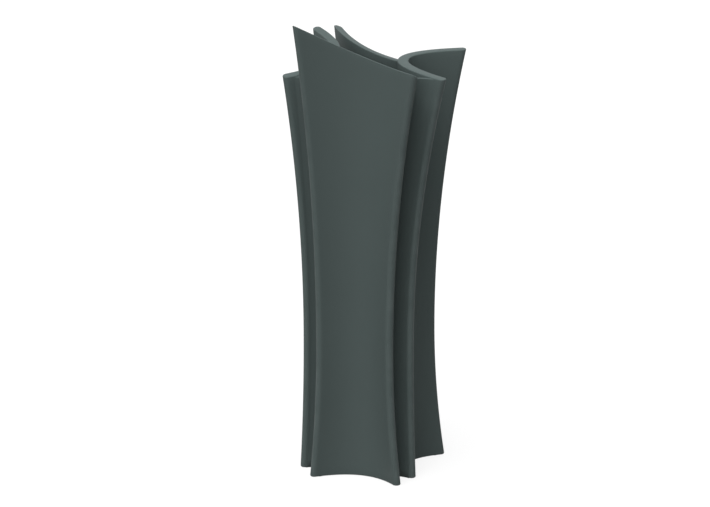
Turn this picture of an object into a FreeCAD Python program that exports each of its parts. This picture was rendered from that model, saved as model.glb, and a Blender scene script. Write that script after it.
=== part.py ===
import FreeCAD, Part
import math
import os

Vector = FreeCAD.Vector
UP = Vector(0, 0, 1)
ON_FACE = 0.01              # how near a plane a point counts as on it

os.makedirs("parts", exist_ok=True)

# Heights, millimetres from the floor
FLARE_HEIGHT = 1400.0       # height at which the top flare of every long edge is given
WAIST_HEIGHT = 430.0        # height at which the sheets stand closest together
STAND_OFF = 2.0             # foot of the sheets above the floor, taken up by the foot pads
SHELF_HEIGHT = 850.0        # top face of the shelf that carries the liner

# The four hollow moulded sheets
SHEET_THICKNESS = 26.0      # over both skins, at the long edges
SKIN = 5.0                  # one skin of the moulding
SECTION_STEP = 140.0        # most height between two sections of a wall

# Arched corner posts that join neighbouring sheets behind each groove
POST_THICKNESS = 8.0
POST_ARCH = 32.0            # how far the post bows inwards
FRONT_RIGHT_POST_TOP = 1252.0
BACK_RIGHT_POST_TOP = 1150.0
BACK_LEFT_POST_TOP = 1225.0
FRONT_LEFT_POST_TOP = 1225.0
SEAM_GAP = 0.2              # between a post and a sheet
FLANGE_THICKNESS = 4.0
FLANGE_FAR = 50.0           # from the post's line to the free edge of a flange
FLANGE_BOLT_LINE = 37.0     # from the post's line to the bolts

# Bolts through the flanges into the sheets
BOLT_ROWS = 3
BOLT_RADIUS = 3.0
BOLT_GRIP = 14.0            # length inside the sheet
BOLT_HEAD_RADIUS = 5.5
BOLT_HEAD_HEIGHT = 4.0
BOLT_SEAT_GAP = 0.3         # under the head, on the slightly curved flange
BOLT_PLAY = 0.4             # in the flange, on the radius
COLUMN_RADIUS = 8.0         # post inside the double wall that takes a bolt

# Foot pads pressed into the feet of the sheets
PAD_RADIUS = 9.0
PAD_STEM_RADIUS = 3.0
PAD_STEM_LENGTH = 9.0
PAD_SETBACK = 12.0          # from a sheet's long edge

# Shelf and base plate, with their bosses, inserts and screws
SHELF_THICKNESS = 8.0
BASE_PLATE_HEIGHT = 14.0    # underside of the base plate above the floor
BASE_PLATE_THICKNESS = 5.0
PLATE_CLEARANCE = 1.0
BOSS_RADIUS = 11.0
BOSS_LENGTH = 30.0
BOSS_OVERLAP = 5.0          # how deep a boss runs into its post
BOSS_SHIFT = 10.0           # from the post's middle towards the sheet that it stands further back on
INSERT_RADIUS = 4.5
INSERT_LENGTH = 14.0
SCREW_RADIUS = 3.0
SCREW_GRIP = 11.0           # length inside the insert
SCREW_HEAD_RADIUS = 6.0
SCREW_HEAD_HEIGHT = 4.0
SOCKET_RADIUS = 2.3
SOCKET_DEPTH = 2.2
SCREW_PLAY = 0.4            # in a plate's hole, on the radius
THREAD_PLAY = 0.05          # in its insert, on the radius
BALLAST_HEIGHT = 70.0
BALLAST_CLEARANCE = 20.0
BALLAST_CHAMFER = 6.0

# Lift-out liner
LINER_TOP_HEIGHT = 1150.0
LINER_CLEARANCE = 12.0
LINER_DRAFT = 5.0           # how much narrower the liner is at its bottom, on each side
LINER_WALL = 3.0
LINER_FLOOR = 4.0
LINER_LIP = 4.0
LINER_LIP_HEIGHT = 5.0
LINER_LEG = 10.0
LINER_LEG_RADIUS = 9.0
LINER_LEG_INSET = 22.0

# Folding lifting handles of the liner
HANDLE_WIRE_RADIUS = 3.0
HANDLE_WIDTH = 50.0         # between the centres of its two legs
HANDLE_REACH = 48.0         # from the pivot to the grip's centre
HANDLE_DROP = 16.0          # pivot below the liner's top
HANDLE_OFF_WALL = 8.0       # pivot in from the liner's wall
HANDLE_SIDE_PLAY = 0.5
PIVOT_PLAY = 0.06
LUG_THICKNESS = 4.0
LUG_HEIGHT = 16.0
LUG_BEYOND_PIVOT = 7.0
LUG_BURIED = 1.5
PIN_PROUD = 2.0

# Drain grid on legs over the water reservoir
RESERVOIR_DEPTH = 62.0
GRID_THICKNESS = 5.0
GRID_CLEARANCE = 2.5
GRID_HOLE_RADIUS = 4.0
GRID_HOLE_PITCH = 18.0
GRID_EDGE = 9.0             # least land left around a hole
GRID_LEG_RADIUS = 7.0
GRID_LEG_INSET = 20.0

# Water gauge
TUBE_RADIUS = 11.0
TUBE_WALL = 2.0
TUBE_ABOVE_LINER = 14.0
TUBE_FOOT_GAP = 5.0         # from the liner's floor to the tube's lower end
TUBE_LEDGE = 2.0
TUBE_LEDGE_BORE = 5.0
TUBE_COLLAR_RADIUS = 15.0
TUBE_COLLAR_HEIGHT = 6.0
TUBE_CORNER = 3             # corner of the liner, counted from the front right one
TUBE_INSET = 6.0            # from the liner's corner to the tube's outside
TUBE_PLAY = 0.3
FLOAT_PLAY = 0.8
FLOAT_LENGTH = 34.0
FLOAT_TRAVEL = 50.0
STEM_RADIUS = 1.8
FLAG_RADIUS = 4.5
FLAG_LENGTH = 12.0
CAP_WALL = 2.0
CAP_SKIRT = 12.0
CAP_ROUND = 3.0

# Drain plug and its seal in the liner's floor
PLUG_RADIUS = 8.0
PLUG_PLAY = 0.4
PLUG_BELOW_FLOOR = 5.0
PLUG_HEAD_RADIUS = 14.0
PLUG_HEAD_HEIGHT = 4.0
PLUG_TAB_WIDTH = 16.0
PLUG_TAB_THICKNESS = 4.0
PLUG_TAB_HEIGHT = 12.0
SEAL_THICKNESS = 2.0
SEAL_SETBACK = 1.0          # seal's edge in from the head's edge


class LongEdge:
    """Free edge of a sheet: its place at the waist, its flares, and the height of its crown."""

    def __init__(self, waist, top_flare, foot_flare, crown):
        self.waist = Vector(waist[0], waist[1], 0)
        self.top_flare = Vector(top_flare[0], top_flare[1], 0)
        self.foot_flare = Vector(foot_flare[0], foot_flare[1], 0)
        self.crown = crown

    def at(self, z):
        if z >= WAIST_HEIGHT:
            lean = self.top_flare * ((z - WAIST_HEIGHT) / (FLARE_HEIGHT - WAIST_HEIGHT)) ** 2
        else:
            lean = self.foot_flare * ((WAIST_HEIGHT - z) / WAIST_HEIGHT) ** 2
        return self.waist + lean + UP * z


class Sheet:
    """One curved sheet of the shell, hollow towards the outside, between two long edges."""

    def __init__(self, start, end, outward, spine_foot, spine_top, rim_tilt, post_setback, liner_side):
        self.start = start
        self.end = end
        self.outward = Vector(outward[0], outward[1], 0)
        self.spine_foot = spine_foot
        self.spine_top = spine_top
        self.rim_tilt = rim_tilt
        self.post_setback = post_setback
        self.liner_side = liner_side

    def midline(self, z):
        """Poles of the sheet's middle line in plan."""
        a = self.start.at(z)
        b = self.end.at(z)
        middle = (a + b) * 0.5
        spine = self.spine_foot + (self.spine_top - self.spine_foot) * z / FLARE_HEIGHT
        depth = middle.dot(self.outward) - (spine - SHEET_THICKNESS / 2)
        return a, middle - self.outward * (2 * depth), b

    def inside(self, z, depth):
        """Poles of the curve at a depth inwards from the middle line."""
        return offset_poles(self.midline(z), -depth)

    def width(self, z):
        return (self.end.at(z) - self.start.at(z)).Length


# The four sheets, counter-clockwise from the front, with the long edges they run between
front_sheet = Sheet(
    start=LongEdge(waist=(-98, -200), top_flare=(-59, -28), foot_flare=(-20, -6), crown=1395.0),
    end=LongEdge(waist=(118, -190), top_flare=(108, -28), foot_flare=(22, 8), crown=1280.0),
    outward=(0, -1), spine_foot=153.0, spine_top=161.0, rim_tilt=0.45,
    post_setback=36.0, liner_side=74.0)
right_sheet = Sheet(
    start=LongEdge(waist=(152, -110), top_flare=(141, -12), foot_flare=(7, 4), crown=1255.0),
    end=LongEdge(waist=(135, 110), top_flare=(94, 86), foot_flare=(32, 8), crown=1275.0),
    outward=(1, 0), spine_foot=109.0, spine_top=91.0, rim_tilt=0.0,
    post_setback=8.0, liner_side=96.0)
back_sheet = Sheet(
    start=LongEdge(waist=(90, 178), top_flare=(74, 70), foot_flare=(20, 10), crown=1195.0),
    end=LongEdge(waist=(-142, 180), top_flare=(-92, 60.5), foot_flare=(-10, 10), crown=1294.0),
    outward=(0, 1), spine_foot=113.0, spine_top=125.0, rim_tilt=-0.08,
    post_setback=36.0, liner_side=98.0)
left_sheet = Sheet(
    start=LongEdge(waist=(-187, 120), top_flare=(-82, 40), foot_flare=(-8, 8), crown=1302.0),
    end=LongEdge(waist=(-167, -135), top_flare=(-84, -22), foot_flare=(-10, -6), crown=1228.0),
    outward=(-1, 0), spine_foot=115.0, spine_top=150.0, rim_tilt=0.0,
    post_setback=8.0, liner_side=98.0)
SHEETS = [front_sheet, right_sheet, back_sheet, left_sheet]
CORNERS = [(SHEETS[n], SHEETS[(n + 1) % 4]) for n in range(4)]

BOLT_SHANK = BOLT_SEAT_GAP + FLANGE_THICKNESS + SEAM_GAP + BOLT_GRIP


# Plan geometry

def unit(v):
    return v * (1.0 / v.Length)


def outer_side(v):
    """Direction to the right of travel, which is outwards on a counter-clockwise round."""
    return Vector(v.y, -v.x, 0)


def offset_poles(poles, distance):
    """Curve beside a middle line, at a distance outwards, with the same end directions."""
    start, control, end = poles
    leaving = unit(control - start)
    arriving = unit(end - control)
    new_start = start + outer_side(leaving) * distance
    new_end = end + outer_side(arriving) * distance
    gap = new_end - new_start
    turn = leaving.x * arriving.y - leaving.y * arriving.x
    reach = (gap.x * arriving.y - gap.y * arriving.x) / turn
    return new_start, new_start + leaving * reach, new_end


def blend(poles, s, t):
    """Point of the quadratic curve for s = t, or the middle pole of its stretch from s to t."""
    mixed = s * (1 - t) + t * (1 - s)
    return poles[0] * ((1 - s) * (1 - t)) + poles[1] * mixed + poles[2] * (s * t)


def stretch(poles, s, t):
    return blend(poles, s, s), blend(poles, s, t), blend(poles, t, t)


def crossings(poles, direction, distance):
    """Shares along the curve at which it lies at a distance along a direction."""
    a, b, c = [p.dot(direction) for p in poles]
    square = a - 2 * b + c
    linear = 2 * (b - a)
    constant = a - distance
    root = math.sqrt(linear * linear - 4 * square * constant)
    return sorted([(-linear - root) / (2 * square), (-linear + root) / (2 * square)])


def curve_edge(poles):
    curve = Part.BezierCurve()
    curve.setPoles(list(poles))
    return curve.toShape()


def arc_edge(start, middle, end):
    return Part.Arc(start, middle, end).toShape()


def line_edge(start, end):
    return Part.LineSegment(start, end).toShape()


def cylinder(radius, height, foot, direction=UP):
    return Part.makeCylinder(radius, height, foot, direction)


def prism(wire, height):
    return Part.Face(wire).extrude(UP * height)


def single(shape):
    """The one solid that a piece is made of."""
    solids = shape.Solids
    assert len(solids) == 1, "a piece fell into %d solids" % len(solids)
    return solids[0]


# Sheets

def levels(bottom, top):
    """Heights of the sections that a wall is drawn through."""
    count = math.ceil((top - bottom) / SECTION_STEP)
    return [bottom + (top - bottom) * n / count for n in range(count + 1)]


def walls(section, heights):
    """A solid with straight walls from each section to the next."""
    return Part.makeLoft([section(z) for z in heights], True, True)


def round_end(centre, start, tip, end):
    """A half-round wall end as two quarter arcs."""
    radius = (tip - centre).Length
    first = centre + unit((start + tip) * 0.5 - centre) * radius
    second = centre + unit((tip + end) * 0.5 - centre) * radius
    return [arc_edge(start, first, tip), arc_edge(tip, second, end)]


def sheet_section(sheet, z, grown):
    half = SHEET_THICKNESS / 2 + grown
    middle = sheet.midline(z)
    bay = offset_poles(middle, half)
    inner = sheet.inside(z, half)
    start_tip = middle[0] + unit(middle[0] - middle[1]) * half
    end_tip = middle[2] + unit(middle[2] - middle[1]) * half
    edges = [curve_edge(bay)]
    edges += round_end(middle[2], bay[2], end_tip, inner[2])
    edges += [curve_edge(inner[::-1])]
    edges += round_end(middle[0], inner[0], start_tip, bay[0])
    return Part.Wire(edges)


def hollow_section(sheet, z):
    """Inside of the sheet's double wall, with square ends."""
    half = SHEET_THICKNESS / 2 - SKIN
    middle = sheet.midline(z)
    bay = offset_poles(middle, half)
    inner = sheet.inside(z, half)
    return Part.Wire([
        curve_edge(bay),
        line_edge(bay[2], inner[2]),
        curve_edge(inner[::-1]),
        line_edge(inner[0], bay[0])])


def sheet_heights(sheet, foot):
    return levels(foot, max(sheet.start.crown, sheet.end.crown) + SHEET_THICKNESS)


def rim_plane(sheet, depth):
    """A point of the sheet's sloping top, or at a depth under it, and the direction square to it."""
    a = sheet.start.at(sheet.start.crown)
    b = sheet.end.at(sheet.end.crown)
    along = b - a
    inward = outer_side(unit(Vector(along.x, along.y, 0))) * -1
    normal = unit(along.cross(inward - UP * sheet.rim_tilt))
    return (a + b) * 0.5 - normal * depth, normal


def cut_above(body, point, normal):
    room = 2 * FLARE_HEIGHT
    above = Part.makeBox(room, room, room, Vector(-room / 2, -room / 2, 0))
    above.Placement = FreeCAD.Placement(point, FreeCAD.Rotation(UP, normal))
    return single(body.cut(above))


def on_plane(edge, point, normal):
    ends = (edge.FirstParameter, edge.LastParameter)
    places = [edge.valueAt(ends[0]), edge.valueAt(sum(ends) / 2), edge.valueAt(ends[1])]
    return all(abs((place - point).dot(normal)) < ON_FACE for place in places)


def sheet_outside(sheet):
    body = walls(lambda z: sheet_section(sheet, z, 0), sheet_heights(sheet, STAND_OFF))
    return cut_above(body, *rim_plane(sheet, 0))


def sheet_hollow(sheet):
    body = walls(lambda z: hollow_section(sheet, z), sheet_heights(sheet, STAND_OFF + SKIN))
    return cut_above(body, *rim_plane(sheet, SKIN))


def pad_places(sheet):
    """Under each end of a sheet, on the middle of its wall."""
    share = PAD_SETBACK / sheet.width(STAND_OFF)
    return [blend(sheet.midline(STAND_OFF), s, s) for s in (share, 1 - share)]


def flange_ends():
    """Heights between which the posts' flanges run, clear of the plates."""
    bottom = BASE_PLATE_HEIGHT + BASE_PLATE_THICKNESS + PLATE_CLEARANCE
    return bottom, SHELF_HEIGHT - SHELF_THICKNESS - PLATE_CLEARANCE


def bolt_spots(sheet, at_end):
    """Seat of each bolt head on a flange beside one end of a sheet, and the bolt's direction."""
    bottom, top = flange_ends()
    depth = SHEET_THICKNESS / 2 + SEAM_GAP + FLANGE_THICKNESS + BOLT_SEAT_GAP
    spots = []
    for row in range(BOLT_ROWS):
        z = bottom + (top - bottom) * (row + 0.5) / BOLT_ROWS
        share = (sheet.post_setback + FLANGE_BOLT_LINE) / sheet.width(z)
        share = 1 - share if at_end else share
        spots.append(wall_spot(sheet, share, z, depth))
    return spots


def wall_spot(sheet, share, z, depth):
    """A point beside a sheet's middle line, on the inner side, and the way from it into the sheet."""
    poles = sheet.inside(z, depth)
    point = blend(poles, share, share)
    along = (poles[1] - poles[0]) * (1 - share) + (poles[2] - poles[1]) * share
    higher = blend(sheet.inside(z + 1, depth), share, share)
    return point, unit(along.cross(higher - point))


def make_sheet(sheet):
    columns = []
    holes = []
    for point, outward in bolt_spots(sheet, False) + bolt_spots(sheet, True):
        root = point + outward * (BOLT_SHANK - BOLT_GRIP + SKIN / 2)
        columns.append(cylinder(COLUMN_RADIUS, SHEET_THICKNESS - SKIN, root, outward))
        holes.append(cylinder(BOLT_RADIUS + THREAD_PLAY, BOLT_SHANK, point, outward))
    for place in pad_places(sheet):
        columns.append(cylinder(PAD_RADIUS, PAD_STEM_LENGTH + SKIN, place + UP * (SKIN / 2)))
        holes.append(cylinder(PAD_STEM_RADIUS, PAD_STEM_LENGTH, place))
    hollow = sheet_hollow(sheet).cut(Part.makeCompound(columns))
    return single(sheet_outside(sheet).cut(hollow).cut(Part.makeCompound(holes)))


# Corner posts

def post_ends(corner, z):
    """Where a post's middle line starts and ends, on the middle lines of its two sheets."""
    before, after = corner
    leaving = 1 - before.post_setback / before.width(z)
    arriving = after.post_setback / after.width(z)
    return blend(before.midline(z), leaving, leaving), blend(after.midline(z), arriving, arriving)


def post_apex(corner, z):
    """The innermost point of a post's middle line, and the inward direction there."""
    start, end = post_ends(corner, z)
    inward = outer_side(unit(end - start)) * -1
    return (start + end) * 0.5 + inward * POST_ARCH, inward


def post_section(corner, z):
    """An arch between two sheets, with square ends inside their walls."""
    half = POST_THICKNESS / 2
    start, end = post_ends(corner, z)
    apex, inward = post_apex(corner, z)
    half_span = (end - start).Length / 2
    radius = (half_span ** 2 + POST_ARCH ** 2) / (2 * POST_ARCH)
    centre = apex - inward * radius
    start_step = unit(start - centre) * half
    end_step = unit(end - centre) * half
    return Part.Wire([
        arc_edge(start - start_step, apex - inward * half, end - end_step),
        line_edge(end - end_step, end + end_step),
        arc_edge(end + end_step, apex + inward * half, start + start_step),
        line_edge(start + start_step, start - start_step)])


def flange_section(sheet, at_end, z):
    """From the middle of the sheet's wall to the flange's free face."""
    near = sheet.post_setback / 2 / sheet.width(z)
    far = (sheet.post_setback + FLANGE_FAR) / sheet.width(z)
    if at_end:
        near, far = 1 - near, 1 - far
    depth = SHEET_THICKNESS / 2 + SEAM_GAP + FLANGE_THICKNESS
    outer = stretch(sheet.midline(z), near, far)
    inner = stretch(sheet.inside(z, depth), near, far)
    return Part.Wire([
        curve_edge(outer),
        line_edge(outer[2], inner[2]),
        curve_edge(inner[::-1]),
        line_edge(inner[0], outer[0])])


def groove_section(corner, z):
    """What lies on the outer side of a post's middle line."""
    start, end = post_ends(corner, z)
    apex, inward = post_apex(corner, z)
    out = inward * -FLANGE_FAR
    wider = unit(end - start) * FLANGE_FAR
    return Part.Wire([
        arc_edge(start, apex, end),
        line_edge(end, end + wider),
        line_edge(end + wider, end + wider + out),
        line_edge(end + wider + out, start - wider + out),
        line_edge(start - wider + out, start - wider),
        line_edge(start - wider, start)])


def make_flanges(corner):
    """Strips along both sheets, cut off where they would show in the groove."""
    before, after = corner
    bottom, top = flange_ends()
    heights = levels(bottom, top)
    groove = walls(lambda z: groove_section(corner, z), heights)
    strips = []
    for sheet, at_end in ((before, True), (after, False)):
        strip = walls(lambda z: flange_section(sheet, at_end, z), heights)
        strips.append(strip.cut(groove))
    return strips


def boss_place(corner, z):
    before, after = corner
    start, end = post_ends(corner, z)
    apex, inward = post_apex(corner, z)
    aside = unit(end - start)
    if before.post_setback > after.post_setback:
        aside = aside * -1
    return apex + aside * BOSS_SHIFT + inward * (POST_THICKNESS / 2 + BOSS_RADIUS - BOSS_OVERLAP)


def foot_boss(corner):
    """Seat of the base plate on a post, and the way into the post's boss."""
    return boss_place(corner, BASE_PLATE_HEIGHT + BASE_PLATE_THICKNESS), UP


def shelf_boss(corner):
    """Seat of the shelf on a post, and the way into the post's boss."""
    return boss_place(corner, SHELF_HEIGHT - SHELF_THICKNESS), UP * -1


def make_post(corner, top):
    before, after = corner
    arch = walls(lambda z: post_section(corner, z), levels(STAND_OFF, top))
    added = make_flanges(corner)
    holes = []
    for seat, into in (foot_boss(corner), shelf_boss(corner)):
        added.append(cylinder(BOSS_RADIUS, BOSS_LENGTH, seat, into))
        holes.append(cylinder(INSERT_RADIUS, INSERT_LENGTH, seat, into))
    body = arch.multiFuse(added)
    for sheet in corner:
        heights = sheet_heights(sheet, STAND_OFF)
        body = body.cut(walls(lambda z: sheet_section(sheet, z, SEAM_GAP), heights))
    for point, outward in bolt_spots(before, True) + bolt_spots(after, False):
        holes.append(cylinder(BOLT_RADIUS + BOLT_PLAY, BOLT_SHANK, point, outward))
    return single(body.cut(Part.makeCompound(holes)))


def make_sheet_bolts():
    bolts = []
    for sheet in SHEETS:
        for point, outward in bolt_spots(sheet, False) + bolt_spots(sheet, True):
            crown = point - outward * BOLT_HEAD_HEIGHT
            head = cylinder(BOLT_HEAD_RADIUS, BOLT_HEAD_HEIGHT, crown, outward)
            stem = cylinder(BOLT_RADIUS, BOLT_SHANK, point, outward)
            socket = cylinder(SOCKET_RADIUS, SOCKET_DEPTH, crown, outward)
            bolts.append(single(head.fuse(stem).cut(socket)))
    return Part.makeCompound(bolts)


# Plan of the space inside the walls

def post_lines(z, inset):
    """For each corner, a line inside its post: the inward direction and the distance along it."""
    lines = []
    for corner in CORNERS:
        apex, inward = post_apex(corner, z)
        lines.append((inward, apex.dot(inward) + inset))
    return lines


def pocket_sides(z, inset, lines):
    """For each sheet, the stretch of curve at an inset from its middle line between two corner lines."""
    sides = []
    for n, sheet in enumerate(SHEETS):
        poles = sheet.inside(z, inset)
        start = min(crossings(poles, *lines[n - 1]), key=lambda share: abs(share - 0.25))
        end = min(crossings(poles, *lines[n]), key=lambda share: abs(share - 0.75))
        sides.append(stretch(poles, start, end))
    return sides


def pocket_loop(sides, z):
    lift = UP * (z - sides[0][0].z)
    edges = []
    for n, side in enumerate(sides):
        edges.append(curve_edge([pole + lift for pole in side]))
        edges.append(line_edge(side[2] + lift, sides[(n + 1) % 4][0] + lift))
    return Part.Wire(edges)


def corner_place(sides, n, inset, z):
    """A point inside the corner after side n, at an inset from its corner line."""
    start = sides[n][2]
    end = sides[(n + 1) % 4][0]
    inward = outer_side(unit(end - start)) * -1
    place = (start + end) * 0.5 + inward * inset
    return Vector(place.x, place.y, z)


def centre_of(sides, z):
    tops = [blend(side, 0.5, 0.5) for side in sides]
    return Vector((tops[1].x + tops[3].x) / 2, (tops[0].y + tops[2].y) / 2, z)


# Pads, plates, inserts, screws and ballast

def make_foot_pads():
    pads = []
    for sheet in SHEETS:
        for place in pad_places(sheet):
            disc = cylinder(PAD_RADIUS, STAND_OFF, Vector(place.x, place.y, 0))
            stem = cylinder(PAD_STEM_RADIUS, PAD_STEM_LENGTH, place)
            pads.append(single(disc.fuse(stem)))
    return Part.makeCompound(pads)


def make_plate(bottom, thickness, bosses):
    """A plate inside the walls, with a screw hole at each boss that it is fixed to."""
    inset = SHEET_THICKNESS / 2 + PLATE_CLEARANCE
    seat_height = bosses[0][0].z
    sides = pocket_sides(seat_height, inset, post_lines(seat_height, POST_THICKNESS / 2 + PLATE_CLEARANCE))
    plate = prism(pocket_loop(sides, bottom), thickness)
    for seat, into in bosses:
        plate = plate.cut(cylinder(SCREW_RADIUS + SCREW_PLAY, thickness, seat, into * -1))
    return single(plate)


def make_inserts(bosses):
    inserts = []
    for seat, into in bosses:
        sleeve = cylinder(INSERT_RADIUS, INSERT_LENGTH, seat, into)
        inserts.append(sleeve.cut(cylinder(SCREW_RADIUS + THREAD_PLAY, INSERT_LENGTH, seat, into)))
    return Part.makeCompound(inserts)


def make_screws(bosses, thickness):
    screws = []
    for boss, into in bosses:
        seat = boss - into * thickness
        crown = seat - into * SCREW_HEAD_HEIGHT
        head = cylinder(SCREW_HEAD_RADIUS, SCREW_HEAD_HEIGHT, crown, into)
        socket = cylinder(SOCKET_RADIUS, SOCKET_DEPTH, crown, into)
        shank = cylinder(SCREW_RADIUS, thickness + SCREW_GRIP, seat, into)
        screws.append(single(head.fuse(shank).cut(socket)))
    return Part.makeCompound(screws)


def make_ballast():
    bottom = BASE_PLATE_HEIGHT + BASE_PLATE_THICKNESS
    top = bottom + BALLAST_HEIGHT
    inset = SHEET_THICKNESS / 2 + BALLAST_CLEARANCE
    past_boss = POST_THICKNESS / 2 + 2 * BOSS_RADIUS - BOSS_OVERLAP + BALLAST_CLEARANCE
    wide = pocket_sides(bottom, inset, post_lines(bottom, past_boss))
    drawn_in = post_lines(bottom, past_boss + BALLAST_CHAMFER)
    narrow = pocket_sides(bottom, inset + BALLAST_CHAMFER, drawn_in)
    loops = [pocket_loop(wide, bottom), pocket_loop(wide, top - BALLAST_CHAMFER), pocket_loop(narrow, top)]
    return single(Part.makeLoft(loops, True, True))


foot_bosses = [foot_boss(corner) for corner in CORNERS]
shelf_bosses = [shelf_boss(corner) for corner in CORNERS]


# Liner and what it carries

LINER_BOTTOM = SHELF_HEIGHT + LINER_LEG
LINER_FLOOR_TOP = LINER_BOTTOM + LINER_FLOOR
PIVOT_HEIGHT = LINER_TOP_HEIGHT - HANDLE_DROP
GRID_BOTTOM = LINER_FLOOR_TOP + RESERVOIR_DEPTH
GRID_TOP = GRID_BOTTOM + GRID_THICKNESS
PIN_LENGTH = HANDLE_WIRE_RADIUS + HANDLE_SIDE_PLAY + LUG_THICKNESS + PIN_PROUD


def liner_lines(deeper):
    """For each corner, the line across it between two sides of the liner's top, or deeper inside."""
    ends = []
    for sheet in SHEETS:
        face = sheet.inside(LINER_TOP_HEIGHT, SHEET_THICKNESS / 2 + LINER_CLEARANCE)
        reach = sheet.liner_side / sheet.width(LINER_TOP_HEIGHT) / 2
        ends.append([blend(face, share, share) for share in (0.5 - reach, 0.5 + reach)])
    lines = []
    for n in range(4):
        start = ends[n][1]
        inward = outer_side(unit(ends[(n + 1) % 4][0] - start)) * -1
        lines.append((inward, start.dot(inward) + deeper))
    return lines


def liner_sides(deeper, z):
    """Plan of the liner's outer face at a height, or of a face deeper inside it."""
    drawn_in = deeper + LINER_DRAFT * (LINER_TOP_HEIGHT - z) / (LINER_TOP_HEIGHT - LINER_BOTTOM)
    inset = SHEET_THICKNESS / 2 + LINER_CLEARANCE + drawn_in
    return pocket_sides(LINER_TOP_HEIGHT, inset, liner_lines(drawn_in))


def liner_block(deeper, bottom, top):
    """The tapered space inside one of the liner's faces, between two heights."""
    loops = [pocket_loop(liner_sides(deeper, z), z) for z in (bottom, top)]
    return Part.makeLoft(loops, True, True)


def lug_shift():
    return HANDLE_WIDTH / 2 + HANDLE_WIRE_RADIUS + HANDLE_SIDE_PLAY + LUG_THICKNESS / 2


def wall_at(plan, x, inward):
    """Where a line from the front or back first meets the space inside the liner."""
    box = plan.BoundBox
    line = line_edge(Vector(x, box.YMin, box.ZMin), Vector(x, box.YMax, box.ZMin))
    return min([point.Y for point in line.common(plan).Vertexes], key=lambda y: y * inward)


class Handle:
    """A folding handle on the front or back wall: its pivot line and the way it lies at rest."""

    def __init__(self, plan, side, inward):
        self.inward = Vector(0, inward, 0)
        self.x = blend(side, 0.5, 0.5).x
        self.lug_x = [self.x - lug_shift(), self.x + lug_shift()]
        self.lug_wall = [wall_at(plan, x, inward) for x in self.lug_x]
        pin_end = HANDLE_WIDTH / 2 + PIN_LENGTH
        pin_wall = [wall_at(plan, self.x + shift, inward) for shift in (-pin_end, pin_end)]
        nearest = max(self.lug_wall + pin_wall, key=lambda y: y * inward)
        self.pivot = Vector(self.x, nearest + HANDLE_OFF_WALL * inward, PIVOT_HEIGHT)


pivot_sides = liner_sides(LINER_WALL, PIVOT_HEIGHT)
pivot_plan = Part.Face(pocket_loop(pivot_sides, PIVOT_HEIGHT))
front_handle = Handle(pivot_plan, pivot_sides[0], 1)
back_handle = Handle(pivot_plan, pivot_sides[2], -1)


def make_lug(handle, n):
    wall = Vector(handle.lug_x[n] - LUG_THICKNESS / 2, handle.lug_wall[n], PIVOT_HEIGHT - LUG_HEIGHT / 2)
    start = wall - handle.inward * LUG_BURIED
    end_y = handle.pivot.y + handle.inward.y * LUG_BEYOND_PIVOT
    depth = abs(end_y - start.y)
    corner = Vector(start.x, min(start.y, end_y), start.z)
    plate = Part.makeBox(LUG_THICKNESS, depth, LUG_HEIGHT, corner)
    hole_foot = Vector(start.x, handle.pivot.y, PIVOT_HEIGHT)
    return plate.cut(cylinder(HANDLE_WIRE_RADIUS + PIVOT_PLAY, LUG_THICKNESS, hole_foot, Vector(1, 0, 0)))


def make_liner():
    bottom_sides = liner_sides(0, LINER_BOTTOM)
    lip_foot = LINER_TOP_HEIGHT - LINER_LIP_HEIGHT
    body = liner_block(0, LINER_BOTTOM, LINER_TOP_HEIGHT)
    lip = liner_block(-LINER_LIP, lip_foot, LINER_TOP_HEIGHT)
    space = liner_block(LINER_WALL, LINER_FLOOR_TOP, LINER_TOP_HEIGHT + LINER_LIP_HEIGHT)
    body = body.fuse(lip).cut(space)
    legs = []
    for n in range(4):
        foot = corner_place(bottom_sides, n, LINER_LEG_INSET, SHELF_HEIGHT)
        legs.append(cylinder(LINER_LEG_RADIUS, LINER_LEG + LINER_FLOOR / 2, foot))
    lugs = [make_lug(handle, n) for handle in (front_handle, back_handle) for n in (0, 1)]
    body = body.multiFuse(legs + lugs)
    drain = cylinder(PLUG_RADIUS + PLUG_PLAY, LINER_FLOOR, plug_place(LINER_BOTTOM))
    return single(body.cut(drain))


def make_handle(handle):
    """Bent wire: two pins, two legs and a grip, with ball corners."""
    half = Vector(HANDLE_WIDTH / 2, 0, 0)
    across = Vector(1, 0, 0)
    reach = handle.inward * HANDLE_REACH
    pieces = []
    for side in (-1, 1):
        elbow = handle.pivot + half * side
        pieces.append(cylinder(HANDLE_WIRE_RADIUS, PIN_LENGTH, elbow, across * side))
        pieces.append(cylinder(HANDLE_WIRE_RADIUS, HANDLE_REACH, elbow, handle.inward))
        pieces.append(Part.makeSphere(HANDLE_WIRE_RADIUS, elbow))
        pieces.append(Part.makeSphere(HANDLE_WIRE_RADIUS, elbow + reach))
    pieces.append(cylinder(HANDLE_WIRE_RADIUS, HANDLE_WIDTH, handle.pivot - half + reach, across))
    return single(pieces[0].multiFuse(pieces[1:]).removeSplitter())


def tube_place(z):
    return corner_place(liner_sides(LINER_WALL, LINER_FLOOR_TOP), TUBE_CORNER, TUBE_INSET + TUBE_RADIUS, z)


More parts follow.
